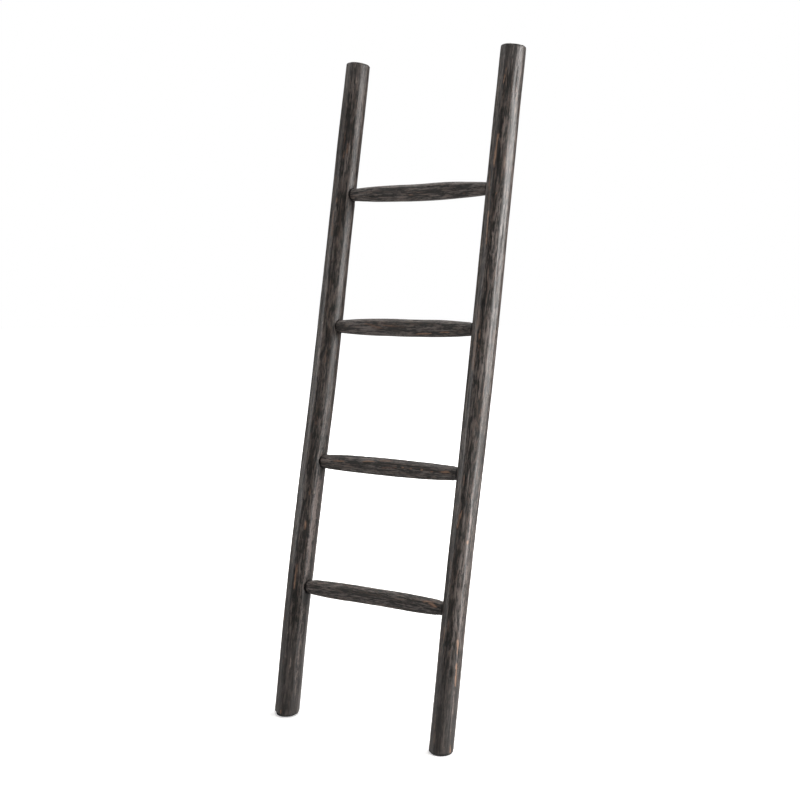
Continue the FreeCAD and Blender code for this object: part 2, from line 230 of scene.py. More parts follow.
def step(t):
    t = np.clip(t, 0.0, 1.0)
    return t * t * (3 - 2 * t)


def curve(table, s, col):
    """Smooth curve through one column of a table of sections."""
    xs = np.array([row[0] for row in table], float)
    ys = np.array([row[col] for row in table], float)
    d = np.gradient(ys, xs)
    s = np.clip(np.asarray(s, float), xs[0], xs[-1])
    k = np.clip(np.searchsorted(xs, s, side="right") - 1, 0, len(xs) - 2)
    h = xs[k + 1] - xs[k]
    t = (s - xs[k]) / h
    return ((1 + 2 * t) * (1 - t) ** 2 * ys[k] + t * (1 - t) ** 2 * h * d[k]
            + t * t * (3 - 2 * t) * ys[k + 1] + t * t * (t - 1) * h * d[k + 1])


def turn(a):
    """Angle in radians, wrapped to -pi..pi."""
    return (a + math.pi) % (2 * math.pi) - math.pi


# ------------------------------------------------------------------ the hewn surface
def hewn(th, s, r, arrises, seed, flat, hew, grain, period, ends):
    """Relief over a round section (mm) and how much of an arris each point is."""
    share = np.clip((s - ends[0]) / (ends[1] - ends[0]), 0, 1)
    edges = [np.radians(a) * (1 - share) + np.radians(b) * share for a, b in zip(*arrises)]
    sharp = 2.4
    radii = []
    for i, lo in enumerate(edges):
        hi = edges[(i + 1) % len(edges)] + (2 * math.pi if i == len(edges) - 1 else 0)
        mid, half = (lo + hi) / 2, (hi - lo) / 2
        mid = mid + math.radians(5.0) * along(s, 260 * period, seed + 11 * i)
        dist = r * np.cos(half) * 1.032 + hew * 1.15 * along(s, 150 * period, seed + 200 + 13 * i) \
            + hew * 0.45 * along(s, 47 * period, seed + 400 + 17 * i)
        c = np.cos(turn(th - mid))
        radii.append(np.where(c > 0.35, dist / np.maximum(c, 0.35), r * 2.2))
    q = np.stack(radii)
    low = q.min(axis=0)
    total = np.exp(-sharp * (q - low)).sum(axis=0)
    faceted = low - np.log(total) / sharp
    arris = np.clip(total - 1.0, 0.0, 1.0)
    out = flat * (faceted - r)
    out = out - out.mean() + 0.36
    cx, cy = r * np.cos(th), r * np.sin(th)
    # long knife strokes, then the grain standing in ridges
    out = out + hew * 0.55 * noise(cx / 13, cy / 13, s / (85 * period), seed + 31)
    out = out + hew * 0.30 * noise(cx / 7, cy / 7, s / (30 * period), seed + 37)
    ridge = noise(cx / 4.6, cy / 4.6, s / (95 * period), seed + 41)
    ridge2 = noise(cx / 3.0, cy / 3.0, s / (60 * period), seed + 43)
    ridge3 = noise(cx / 8.5, cy / 8.5, s / (120 * period), seed + 47)
    out = out + grain * (0.7 * ridge + 0.55 * ridge2 + 0.9 * ridge3)
    # the low places between the ridges, darkened later as painted shade with dirt
    valley = np.clip(-(ridge * 0.8 + ridge2 * 0.6), 0, 1)
    return out, arris, valley


def checks(th, s, r, seed, count, length, clear):
    """Drying cracks: long narrow grooves that follow the grain."""
    rng = np.random.RandomState(seed)
    depth = np.zeros_like(th)
    for _ in range(count):
        s0 = rng.uniform(0.03, 0.97) * length
        a0 = rng.uniform(-math.pi, math.pi)
        run = rng.uniform(28, 95)
        deep = rng.uniform(0.45, 1.15)
        lean = rng.uniform(-0.00035, 0.00035)
        kink = rng.uniform(0, 50)
        if clear(s0, a0):
            continue
        t = (s - s0) / run
        ends = np.clip(1 - t * t, 0, 1) ** 0.7
        a = a0 + lean * (s - s0) + 0.9 / r * noise(s / 17 + kink, kink, 0.5, seed + 3)
        d = np.abs(turn(th - a)) * r
        depth = np.maximum(depth, deep * ends * np.exp(-(d / 1.25) ** 2))
    return depth


def knots(th, s, r, places, seed):
    """Small knots: a dark eye in a dished, swollen collar."""
    lift, dark = np.zeros_like(th), np.zeros_like(th)
    for s0, a0, hl, hw in places:
        a = turn(th - math.radians(a0)) * r
        d = np.sqrt(((s - s0) / hl) ** 2 + (a / hw) ** 2)
        d = d + 0.14 * noise(s / 3.1, a / 2.3, 0.5, seed)
        lift = lift + 0.50 * np.exp(-((d - 1.25) / 0.45) ** 2) - 0.55 * np.exp(-(d / 0.62) ** 2)
        ring = 0.5 + 0.5 * np.cos(d * 11.0)
        dark = np.maximum(dark, np.exp(-(d / 0.75) ** 4) * (0.65 + 0.35 * ring))
        dark = np.maximum(dark, 0.55 * np.exp(-((d - 1.15) / 0.16) ** 2))
    return lift, dark


def marks(th, s, r, places, seed):
    """Masks for the tan, brown, pale and dark marks."""
    out = {k: np.zeros_like(th) for k in "TBPD"}
    wob = noise(s / 9.0, th * 3.0, 0.5, seed + 71)
    wob2 = noise(s / 3.4, th * 5.0, 0.5, seed + 73)
    for kind, strength, width, s1, a1, s2, a2 in places:
        da = math.radians(turn(math.radians(a2 - a1)) * 180 / math.pi)
        e = turn(th - math.radians(a1)) * r
        f = s - s1
        vx, vy = da * r, float(s2 - s1)
        n2 = vx * vx + vy * vy + 1e-9
        t = (e * vx + f * vy) / n2
        ln = math.sqrt(np.mean(n2))
        tc = np.clip(t, 0, 1)
        gap = np.sqrt((e - tc * vx) ** 2 + ((f - tc * vy) * (0.45 if abs(s2 - s1) > 6 else 1.0)) ** 2)
        w = width * (0.56 + 0.32 * wob + 0.20 * wob2) * (0.60 + 0.40 * np.sin(math.pi * (0.12 + 0.76 * tc)))
        m = strength * np.exp(-(gap / np.maximum(w, 0.5)) ** 1.9)
        out[kind] = np.maximum(out[kind], np.where(np.abs(f) > ln + 40, 0, m))
    return out


# ------------------------------------------------------------------ meshes
def make(name, verts, faces, uv, attrs):
    me = bpy.data.meshes.new(name)
    v = np.array(verts, float)
    v = np.clip(v, CAD_LO + 0.02, CAD_HI - 0.02) / 1000.0
    me.from_pydata(v.tolist(), [], faces)
    me.update()
    me.polygons.foreach_set("use_smooth", [True] * len(me.polygons))
    if uv is not None:
        layer = me.uv_layers.new(name="OFBake")
        layer.data.foreach_set("uv", np.asarray(uv, np.float32).ravel())
    for key, (kind, data) in attrs.items():
        at = me.attributes.new(key, kind, "POINT")
        field = {"FLOAT": "value", "FLOAT_VECTOR": "vector", "FLOAT_COLOR": "color"}[kind]
        at.data.foreach_set(field, np.asarray(data, np.float32).ravel())
    ob = bpy.data.objects.new(name, me)
    bpy.context.scene.collection.objects.link(ob)
    return ob


def square_angle(di, dj):
    """Angle on a circle of a point on the square ring (di, dj)."""
    di, dj = float(di), float(dj)
    if di == 0 and dj == 0:
        return 0.0
    if abs(di) >= abs(dj):
        return math.pi / 4 * dj / di + (math.pi if di < 0 else 0.0)
    return math.pi / 2 - math.pi / 4 * di / dj + (math.pi if dj < 0 else 0.0)


def tube_faces(rows, ni, centre_first, centre_last):
    """Quads between rings, and fans onto a centre point at each end. Rings first, then the two centres."""
    j = np.arange(rows - 1)[:, None]
    i = np.arange(ni)[None, :]
    a = j * ni + i
    b = j * ni + (i + 1) % ni
    quads = np.stack([a, b, b + ni, a + ni], axis=-1).reshape(-1, 4).tolist()
    last = (rows - 1) * ni
    fan0 = [[(k + 1) % ni, k, centre_first] for k in range(ni)]
    fan1 = [[last + k, last + (k + 1) % ni, centre_last] for k in range(ni)]
    return quads, fan0, fan1


def tube_uv(rows, ni, cap0, cap1, strips, top, caps):
    """A loop UV for tube_faces: the wall in strips side by side, the two caps as discs below."""
    uv = []
    wall0, wall1 = cap0, rows - 1 - cap1
    count = wall1 - wall0
    per = int(math.ceil(count / strips))
    width = 0.98 / strips

    def wall(i, j, strip):
        u = 0.01 + width * strip + 0.006 + (width - 0.012) * i / ni
        v = top + (0.99 - top) * (j - wall0 - strip * per) / per
        return (u, v)

    def disc(i, j, which):
        a = 2 * math.pi * i / ni
        rad = caps[1] * (1.0 - ((wall0 - j) / (cap0 + 0.5) if which == 0 else (j - wall1) / (cap1 + 0.5)))
        return (caps[0][which] + rad * math.cos(a), caps[2] + rad * math.sin(a) * (1 if which else -1))

    for j in range(rows - 1):
        for i in range(ni):
            if j < wall0:
                uv += [disc(i, j, 0), disc(i + 1, j, 0), disc(i + 1, j + 1, 0), disc(i, j + 1, 0)]
            elif j >= wall1:
                uv += [disc(i, j, 1), disc(i + 1, j, 1), disc(i + 1, j + 1, 1), disc(i, j + 1, 1)]
            else:
                strip = (j - wall0) // per
                uv += [wall(i, j, strip), wall(i + 1, j, strip), wall(i + 1, j + 1, strip), wall(i, j + 1, strip)]
    for k in range(ni):
        uv += [disc(k + 1, 0, 0), disc(k, 0, 0), (caps[0][0], caps[2])]
    for k in range(ni):
        uv += [disc(k, rows - 1, 1), disc(k + 1, rows - 1, 1), (caps[0][1], caps[2])]
    return uv


CAP_STEPS = [0.0, 0.10, 0.22, 0.36, 0.50, 0.63, 0.75, 0.86, 0.95]
FOOT_RIM = [90.0, 67.5, 45.0, 22.5]
TOP_RIM = [18.0, 36.0, 54.0, 72.0, 90.0]


def build_rail(name, side, table, places, arrises, seed):
    NI, NW = 100, 930
    RAIL_LENGTH = TOP_CUTS[side][0]
    cols = 2 * math.pi * np.arange(NI) / NI
    # rows: foot cap, foot rim, wall, top rim, top cap
    caps = len(CAP_STEPS)
    heights = np.linspace(FOOT_ROUND, RAIL_LENGTH - TOP_ROUND, NW)
    rows = caps + len(FOOT_RIM) + NW + len(TOP_RIM) + caps
    w0 = caps + len(FOOT_RIM)
    w1 = w0 + NW
    H = np.zeros((rows, NI))
    SHRINK = np.ones((rows, NI))
    INSET = np.zeros((rows, NI))
    H[w0:w1] = heights[:, None]
    for k, a in enumerate(FOOT_RIM):
        H[caps + k] = FOOT_ROUND * (1 - math.sin(math.radians(a)))
        INSET[caps + k] = FOOT_ROUND * (1 - math.cos(math.radians(a)))
    for k, a in enumerate(TOP_RIM):
        H[w1 + k] = RAIL_LENGTH - TOP_ROUND * (1 - math.sin(math.radians(a)))
        INSET[w1 + k] = TOP_ROUND * (1 - math.cos(math.radians(a)))
    for k, f in enumerate(CAP_STEPS):
        H[k] = 0.0
        INSET[k] = FOOT_ROUND
        SHRINK[k] = 0.06 + 0.94 * f
        H[rows - 1 - k] = RAIL_LENGTH
        INSET[rows - 1 - k] = TOP_ROUND
        SHRINK[rows - 1 - k] = 0.06 + 0.94 * f
    TH = np.tile(cols[None, :], (rows, 1))
    fixed = np.full((rows, NI, 3), np.nan)     # points placed outright, in mortises and brad holes
    calm = np.ones((rows, NI))                 # relief dies away here
    mouth_shade_and_dirt = np.zeros((rows, NI))
    # painted shade inside the mortise and brad holes
    hole_shade = np.zeros((rows, NI))

    sgn = -side                                # the mouths face the other rail
    centre_col = 0 if side < 0 else NI // 2
    for rname, height, rrows in RUNGS:
        off = rrows[0][1] if side < 0 else rrows[-1][1]
        sc = height + off
        xf = side * (HALF + 6.0) + float(curve(table, height, 1))
        # the mortise
        jc = w0 + int(np.argmin(np.abs(heights - sc)))
        db0, r0 = float(curve(table, sc, 2)), float(curve(table, sc, 3))
        shift = -db0 if side < 0 else db0
        M0, M1 = 9, 18
        mouth = 15.7
        for dj in range(-M1, M1 + 1):
            for di in range(-M1, M1 + 1):
                m = max(abs(di), abs(dj))
                i, j = (centre_col + di) % NI, jc + dj
                al = square_angle(di, dj)
                ca, sa = math.cos(al), math.sin(al)
                if m >= M0:
                    a_m = r0 * math.asin(max(-0.97, min(0.97, (shift + mouth * ca) / r0)))
                    extra = (m - M0) * 1.72
                    a_c, u_c = a_m + extra * ca, mouth * sa + extra * sa
                    t = float(step((m - M0) / (M1 - M0)))
                    a_g = di * 2 * math.pi / NI * r0
                    u_g = H[j, i] - sc if m == M1 else heights[jc - w0 + dj] - sc
                    a, u = a_c * (1 - t) + a_g * t, u_c * (1 - t) + u_g * t
                    TH[j, i] = cols[centre_col] + a / r0
                    H[j, i] = sc + u
                else:
                    k = M0 - m
                    rad, deep, frac = [(15.1, .55, 0), (14.75, 1.7, 0), (14.45, 5.0, 0), (14.25, 5.0, .5), (14.1, 0, 1),
                                       (10.5, 0, 1), (7.0, 0, 1), (3.5, 0, 1), (0.0, 0, 1)][k - 1]
                    y = rad * ca * (1 if side < 0 else -1)
                    u = rad * sa
                    s = sc + u
                    cx = side * HALF + float(curve(table, s, 1))
                    cb, rr = float(curve(table, s, 2)), float(curve(table, s, 3))
                    xs = cx + sgn * math.sqrt(max(rr * rr - (y - cb) ** 2, 1.0)) - sgn * deep
                    x = xs * (1 - frac) + xf * frac
                    fixed[j, i] = ORIGIN + X * x + B * y + U * s
                    hole_shade[j, i] = 1.0
        d = np.hypot(turn(TH - cols[centre_col]) * r0, H - sc)
        calm = np.minimum(calm, step((d - 16.5) / 11.0))
        # painted shade round each mortise mouth, heavier below the rung, with some dirt
        low = np.clip(0.62 - 0.38 * (H - sc) / 15.0 + 0.2 * noise(TH * 4, H / 6, 0.5, seed + 64), 0.25, 1.0)
        mouth_shade_and_dirt = np.maximum(mouth_shade_and_dirt, low * np.exp(-(np.clip(d - 15.2, 0, None) / 2.1) ** 1.6))
        # the brad's hole in the back
        bc = NI // 4
        jb = w0 + int(np.argmin(np.abs(heights - sc)))
        for dj in range(-6, 7):
            for di in range(-6, 7):
                m = max(abs(di), abs(dj))
                i, j = (bc + di) % NI, jb + dj
                al = square_angle(di, dj)
                ca, sa = math.cos(al), math.sin(al)
                if m >= 3:
                    a_c = (2.9 + (m - 3) * 1.75) * ca
                    u_c = (2.9 + (m - 3) * 1.75) * sa
                    t = float(step((m - 3) / 3.0))
                    a = a_c * (1 - t) + di * 2 * math.pi / NI * r0 * t
                    u = u_c * (1 - t) + (heights[jb - w0 + dj] - sc) * t
                    TH[j, i] = cols[bc] + a / r0
                    H[j, i] = sc + u
                else:
                    rad, deep = [(2.35, .25), (2.14, 1.0), (0.0, 1.38)][2 - m]
                    s = sc + rad * sa
                    rr = float(curve(table, s, 3))
                    xo = -rad * ca
                    fixed[j, i] = (ORIGIN + X * (side * HALF + float(curve(table, s, 1)) + xo)
                                   + B * (float(curve(table, s, 2)) + math.sqrt(rr * rr - xo * xo) - deep) + U * s)
                    hole_shade[j, i] = 0.8
        d = np.hypot(turn(TH - cols[bc]) * r0, H - sc)
        calm = np.minimum(calm, step((d - 3.2) / 6.0))

    # relief, by the place on the wood before the foot is sheared
    r = curve(table, H, 3)
    dx, db = curve(table, H, 1), curve(table, H, 2)
    rel, arris, valley = hewn(TH, H, r, arrises, seed, 0.82, 0.34, 0.34, 1.0, (0.0, RAIL_LENGTH))
    near_top = step((RAIL_LENGTH - H) / 40.0)
    rel = rel * (0.35 + 0.65 * near_top)

    def clear(s0, a0):
        for _, height, _ in RUNGS:
            near_mouth = abs(turn(a0 - cols[centre_col])) < 1.15
            near_brad = abs(turn(a0 - math.pi / 2)) < 0.3
            if abs(s0 - height) < 125 and (near_mouth or near_brad):
                return True
        return False

    crack = checks(TH, H, r, seed + 5, 46, RAIL_LENGTH, clear)
    klift, kdark = knots(TH, H, r, KNOTS[name], seed + 6)
    mk = marks(TH, H, r, places, seed + 7)
    dents = np.clip(noise(r * np.cos(TH) / 6, r * np.sin(TH) / 6, H / 15, seed + 61) - 0.50, 0, 1)
    rel = rel + klift - crack - 0.35 * mk["D"] - 0.28 * mk["T"] - 0.12 * mk["B"] - 0.9 * dents
    rel = np.where(rel > 0.25, 0.25 + (rel - 0.25) * 0.55, rel)
    rho = r + rel * calm
    # ends are knocked about a little
    ends = step(1 - (RAIL_LENGTH - H) / 9.0) + step(1 - H / 6.0)
    rho = rho - ends * (0.18 + 0.40 * noise(np.cos(TH) * 3.1, np.sin(TH) * 3.1, H / 25, seed + 62))
    rho = (rho - INSET) * SHRINK
    # the foot is cut level with the floor: the lowest part of the wall is sheared onto that plane
    bb = db + rho * np.sin(TH)
    fade = np.where(H < 75, 1 - step(H / 75.0), 0.0)
    S = H + math.tan(LEAN) * bb * fade
    if side < 0:
        # the left foot has lost its outer front corner
        lost = np.clip(rho * np.cos(TH - math.radians(228.0)) - 12.5, 0.0, None) * 0.38
        S = S + lost * np.clip(1 - H / 32.0, 0.0, 1.0)
    # the saw left the tops a few degrees out of square
    rise, sideways = (math.tan(math.radians(a)) for a in TOP_CUTS[side][1:])
    S = S + (rise * rho * np.sin(TH) + sideways * rho * np.cos(TH)) * step(1 - (RAIL_LENGTH - H) / 60.0)
    # end grain on the top: saw-cut face with short radial checks, slightly dished
    cap_top = np.zeros((rows, NI))
    cap_top[w1 + len(TOP_RIM):] = 1.0
    radial = np.clip(noise(np.cos(TH) * 6.5, np.sin(TH) * 6.5, 0.5, seed + 63) - 0.36, 0, 1)
    mid = SHRINK
    S = S - cap_top * (0.7 * radial * step((mid - 0.35) / 0.4) * step((1.0 - mid) / 0.08) + 0.25 * step((1 - mid) / 0.5))
    P = (ORIGIN + X * (side * HALF + dx + rho * np.cos(TH))[..., None]
         + B * bb[..., None] + U * S[..., None])
    use = ~np.isnan(fixed[..., 0])
    P[use] = fixed[use]
    # straight local place, for the grain
    L = np.stack([rho * np.cos(TH), rho * np.sin(TH), H], axis=-1)
    back = P - ORIGIN
    L[use] = np.stack([back[..., 0] - side * HALF, back @ B, back @ U], axis=-1)[use]

    c0 = ORIGIN + X * (side * HALF + float(curve(table, 0, 1))) + B * float(curve(table, 0, 2)) + U * (math.tan(LEAN) * float(curve(table, 0, 2)))
    c1 = ORIGIN + X * (side * HALF + float(curve(table, RAIL_LENGTH, 1))) + B * float(curve(table, RAIL_LENGTH, 2)) + U * (RAIL_LENGTH - 0.25)
    verts = np.vstack([P.reshape(-1, 3), c0, c1])
    loc = np.vstack([L.reshape(-1, 3), [0, 0, 0], [0, 0, RAIL_LENGTH]]) / 1000.0
    loc = loc + np.array([0.31 * seed % 1.7, 0.17 * seed % 1.3, 0.53 * seed % 2.1])

    endg = np.zeros((rows, NI))
    endg[:caps] = 1.0
    endg[w1 + len(TOP_RIM):] = 1.0
    for k in range(len(TOP_RIM)):
        endg[w1 + k] = max(0.0, (k - 1) / (len(TOP_RIM) - 1.0))
    # darker round the top edge; the lowest few millimetres of the foot, where it meets the pad, are darkened as painted
    # contact shade
    rim = np.zeros((rows, NI))
    for k, v in enumerate((0.35, 0.6, 0.8, 0.9, 0.8)):
        rim[w1 + k] = v
    rim = np.maximum(rim, 0.45 * np.exp(-(np.clip(RAIL_LENGTH - TOP_ROUND - H, 0, None) / 3.0) ** 2) * (H > 1400))
    rim = np.maximum(rim, np.exp(-(H / 3.2) ** 2))
    # painted shade, with dirt: darker in cracks, grain valleys, dents and end-grain checks, in the holes, round the
    # mortise mouths and at the foot
    cav = np.clip(1.1 * crack + 0.55 * valley + 0.8 * dents + mouth_shade_and_dirt * 0.9 + hole_shade + cap_top * 0.9 * radial * step((mid - 0.35) / 0.4) + rim, 0, 1)
    col = np.stack([mk["T"], mk["B"], mk["P"], np.maximum(mk["D"], kdark)], axis=-1).reshape(-1, 4)
    form = np.stack([arris * calm, cav, endg, mouth_shade_and_dirt], axis=-1).reshape(-1, 4)
    col = np.vstack([col, np.zeros((2, 4))])
    form = np.vstack([form, [0, 0, 1, 0], [0, 0, 1, 0]])
    quads, f0, f1 = tube_faces(rows, NI, rows * NI, rows * NI + 1)
    uv = tube_uv(rows, NI, w0, rows - w1, 3, 0.13, ((0.10, 0.30), 0.05, 0.06))
    # the stain lies greyer and more evenly on the lower legs and near the tops
    even = np.maximum(step((235 - H) / 110.0), 0.8 * step((H - (RAIL_LENGTH - 95)) / 70.0))
    even = np.append(even.ravel(), [0.0, 0.0])
    ob = make(name + "_wood", verts, quads + f0 + f1, uv, {
        "loc": ("FLOAT_VECTOR", loc), "marks": ("FLOAT_COLOR", col), "form": ("FLOAT_COLOR", form), "even": ("FLOAT", even)})
    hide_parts(name)
    return ob


def build_rung(name, height, table, places, arrises, seed):
    NI, NW = 96, 384
    cols = 2 * math.pi * np.arange(NI) / NI
    x0 = -(HALF + 6.0) + float(curve(LEFT_RAIL, height, 1)) + 0.25
    x1 = (HALF + 6.0) + float(curve(RIGHT_RAIL, height, 1)) - 0.25
    body = [(table[0][0] - 6.0, table[0][1], TENON_R)] + list(table[1:-1]) + [(table[-1][0] + 6.0, table[-1][1], TENON_R)]
    body = [(body[0][0] - 40, body[0][1], TENON_R)] + body + [(body[-1][0] + 40, body[-1][1], TENON_R)]
    rim = 1.2
    caps = 4
    steps = [0.0, 0.3, 0.6, 0.85]
    rows = caps + 2 + NW + 2 + caps
    w0, w1 = caps + 2, caps + 2 + NW
    xs = np.linspace(x0 + rim, x1 - rim, NW)
    XX = np.zeros((rows, NI))
    INSET = np.zeros((rows, NI))
    SHRINK = np.ones((rows, NI))
    XX[w0:w1] = xs[:, None]
    for k, a in enumerate((90.0, 45.0)):
        XX[caps + k] = x0 + rim * (1 - math.sin(math.radians(a)))
        XX[w1 + 1 - k] = x1 - rim * (1 - math.sin(math.radians(a)))
        INSET[caps + k] = INSET[w1 + 1 - k] = rim * (1 - math.cos(math.radians(a)))
    for k, f in enumerate(steps):
        XX[k], XX[rows - 1 - k] = x0, x1
        INSET[k] = INSET[rows - 1 - k] = rim
        SHRINK[k] = SHRINK[rows - 1 - k] = 0.08 + 0.92 * f
    TH = np.tile(cols[None, :], (rows, 1))
    r = curve(body, XX, 2)
    r = np.where(np.abs(XX) > 176, TENON_R, np.maximum(r, TENON_R))
    off = curve(body, XX, 1)
    calm = step((171.5 - np.abs(XX)) / 9.0)
    rel, arris, valley = hewn(TH, XX, r, arrises, seed, 0.85, 0.34, 0.22, 0.55, (-170.0, 170.0))
    crack = checks(TH, XX + 205, r, seed + 5, 9, 410, lambda s0, a0: abs(s0 - 205) > 130)
    klift, kdark = knots(TH, XX, r, KNOTS[name], seed + 6)
    mk = marks(TH, XX, r, places, seed + 7)
    dents = np.clip(noise(r * np.cos(TH) / 5, r * np.sin(TH) / 5, XX / 12, seed + 61) - 0.50, 0, 1)
    rel = rel + 0.8 * klift - 0.8 * crack - 0.40 * mk["D"] - 0.22 * mk["T"] - 0.10 * mk["B"] - 0.7 * dents
    rel = np.where(rel > 0.3, 0.3 + (rel - 0.3) * 0.6, rel)
    rho = r + rel * calm - 0.04
    # whittled shoulder: short flats where the end is cut down to the tenon
    shoulder = np.exp(-((np.abs(XX) - 164.0) / 7.0) ** 2)
    rho = rho + shoulder * 0.45 * noise(np.cos(TH) * 2.6, np.sin(TH) * 2.6, XX / 9.0, seed + 65)
    rho = (rho - INSET) * SHRINK
    P = (ORIGIN + X * XX[..., None] + B * (rho * np.cos(TH))[..., None]
         + U * (height + off + rho * np.sin(TH))[..., None])
    L = np.stack([rho * np.cos(TH), rho * np.sin(TH), XX], axis=-1)
    c0 = ORIGIN + X * x0 + U * (height + float(table[0][1]))
    c1 = ORIGIN + X * x1 + U * (height + float(table[-1][1]))
    verts = np.vstack([P.reshape(-1, 3), c0, c1])
    loc = np.vstack([L.reshape(-1, 3), [0, 0, x0], [0, 0, x1]]) / 1000.0
    loc = loc + np.array([0.29 * seed % 1.9, 0.23 * seed % 1.1, 0.41 * seed % 2.3])
    endg = np.zeros((rows, NI))
    endg[:caps] = 1.0
    endg[rows - caps:] = 1.0
    # painted shade on the neck where the rung goes into the rail
    neck_shade = step((np.abs(XX) - 171.5) / 4.5)
    # painted shade, with dirt: darker in cracks, grain valleys and dents, and on the neck
    cav = np.clip(1.1 * crack + 0.45 * valley + 0.8 * dents + 0.85 * neck_shade, 0, 1)
    col = np.stack([mk["T"], mk["B"], mk["P"], np.maximum(mk["D"], kdark)], axis=-1).reshape(-1, 4)
    form = np.stack([arris * calm, cav, endg, neck_shade], axis=-1).reshape(-1, 4)
    col = np.vstack([col, np.zeros((2, 4))])
    form = np.vstack([form, [0, 0, 1, 0], [0, 0, 1, 0]])
    quads, f0, f1 = tube_faces(rows, NI, rows * NI, rows * NI + 1)
    uv = tube_uv(rows, NI, w0, rows - w1, 2, 0.16, ((0.10, 0.30), 0.06, 0.075))
    ob = make(name + "_wood", verts, quads + f0 + f1, uv, {
        "loc": ("FLOAT_VECTOR", loc), "marks": ("FLOAT_COLOR", col), "form": ("FLOAT_COLOR", form)})
    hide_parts(name)
    return ob


def build_pad(name, side, table):
    """Foot pad: a moulded disc with a rounded rim and ring ribs underneath."""
    NI = 96
    cx = ORIGIN[0] + side * HALF + float(curve(table, 0, 1))
    cy = ORIGIN[1] + B[1] * float(curve(table, 0, 2))
    prof = [(0.9, 0.0), (3.0, 0.0), (3.4, 0.5), (4.6, 0.5), (5.0, 0.0), (8.6, 0.0), (9.0, 0.5), (10.4, 0.5), (10.8, 0.0),
            (14.4, 0.0), (14.8, 0.5), (16.2, 0.5), (16.6, 0.0), (20.0, 0.0), (21.6, 0.04), (22.8, 0.22), (23.6, 0.6),
            (23.92, 1.1), (23.98, 1.6), (23.92, 2.1), (23.6, 2.5), (23.0, 2.8), (22.0, 2.95), (19.0, 3.0), (12.0, 3.0),
            (6.0, 3.0), (2.0, 3.0)]
    rows = len(prof)
    a = 2 * math.pi * np.arange(NI) / NI
    P = np.zeros((rows, NI, 3))
    for j, (rad, z) in enumerate(prof):
        rr = rad * (1 + 0.003 * np.sin(5 * a + j) * (rad > 20))
        P[j, :, 0] = cx + rr * np.cos(a)
        P[j, :, 1] = cy + rr * np.sin(a)
        P[j, :, 2] = z
    verts = np.vstack([P.reshape(-1, 3), [cx, cy, 0.0], [cx, cy, 3.0]])
    quads, f0, f1 = tube_faces(rows, NI, rows * NI, rows * NI + 1)
    loc = (verts - np.array([cx, cy, 0])) / 1000.0 + 0.2 * (side + 2)
    ob = make(name + "_rubber", verts, quads + f0 + f1, None, {"loc": ("FLOAT_VECTOR", loc)})
    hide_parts(name)
    return ob


# ------------------------------------------------------------------ materials
class Tree:
    def __init__(self, name):
        self.mat = bpy.data.materials.new(name)
        self.mat.use_nodes = True
        self.nt = self.mat.node_tree
        self.nt.nodes.clear()
        self.out = self.nt.nodes.new("ShaderNodeOutputMaterial")
        self.bsdf = self.nt.nodes.new("ShaderNodeBsdfPrincipled")
        self.nt.links.new(self.bsdf.outputs[0], self.out.inputs["Surface"])

    def put(self, socket, value):
        if isinstance(value, bpy.types.NodeSocket):
            self.nt.links.new(value, socket)
        elif socket.type == "RGBA":
            socket.default_value = (*value, 1.0) if len(value) == 3 else value
        else:
            socket.default_value = value

    def attr(self, name):
        n = self.nt.nodes.new("ShaderNodeAttribute")
        n.attribute_name = name
        return n

    def stretch(self, vec, x, y, z):
        n = self.nt.nodes.new("ShaderNodeVectorMath")
        n.operation = "MULTIPLY"
        self.put(n.inputs[0], vec)
        n.inputs[1].default_value = (x, y, z)
        return n.outputs[0]

    def noise(self, vec, detail=3.0, rough=0.55, distort=0.0):
        n = self.nt.nodes.new("ShaderNodeTexNoise")
        n.noise_dimensions = "3D"
        self.put(n.inputs["Vector"], vec)
        n.inputs["Scale"].default_value = 1.0
        n.inputs["Detail"].default_value = detail
        n.inputs["Roughness"].default_value = rough
        n.inputs["Distortion"].default_value = distort
        return n.outputs[0]

    def math(self, op, a, b=None, clamp=False):
        n = self.nt.nodes.new("ShaderNodeMath")
        n.operation = op
        n.use_clamp = clamp
        self.put(n.inputs[0], a)
        if b is not None:
            self.put(n.inputs[1], b)
        return n.outputs[0]

    def ramp(self, value, lo, hi, a=0.0, b=1.0, smooth=True):
        n = self.nt.nodes.new("ShaderNodeMapRange")
        n.interpolation_type = "SMOOTHSTEP" if smooth else "LINEAR"
        n.clamp = True
        self.put(n.inputs["Value"], value)
        n.inputs["From Min"].default_value = lo
        n.inputs["From Max"].default_value = hi
        n.inputs["To Min"].default_value = a
        n.inputs["To Max"].default_value = b
        return n.outputs["Result"]

    def mix(self, fac, a, b):
        n = self.nt.nodes.new("ShaderNodeMix")
        n.data_type = "RGBA"
        n.clamp_factor = True
        self.put(n.inputs[0], fac)
        self.put(n.inputs[6], a)
        self.put(n.inputs[7], b)
        return n.outputs[2]

    def bump(self, height, strength, distance, normal=None):
        n = self.nt.nodes.new("ShaderNodeBump")
        n.inputs["Strength"].default_value = strength
        n.inputs["Distance"].default_value = distance
        self.put(n.inputs["Height"], height)
        if normal is not None:
            self.put(n.inputs["Normal"], normal)
        return n.outputs[0]


DARK = (0.0100, 0.0086, 0.0068)
INK = (0.0025, 0.0023, 0.0018)
MID = (0.1060, 0.0885, 0.0775)
MAUVE = (0.1800, 0.1515, 0.1390)
BROWN = (0.1700, 0.1030, 0.0720)
TAN = (0.3900, 0.2350, 0.1580)
# pale worn wood, also laid on as painted highlight
PALE_WEAR_AND_HIGHLIGHT = (0.2700, 0.2150, 0.1950)


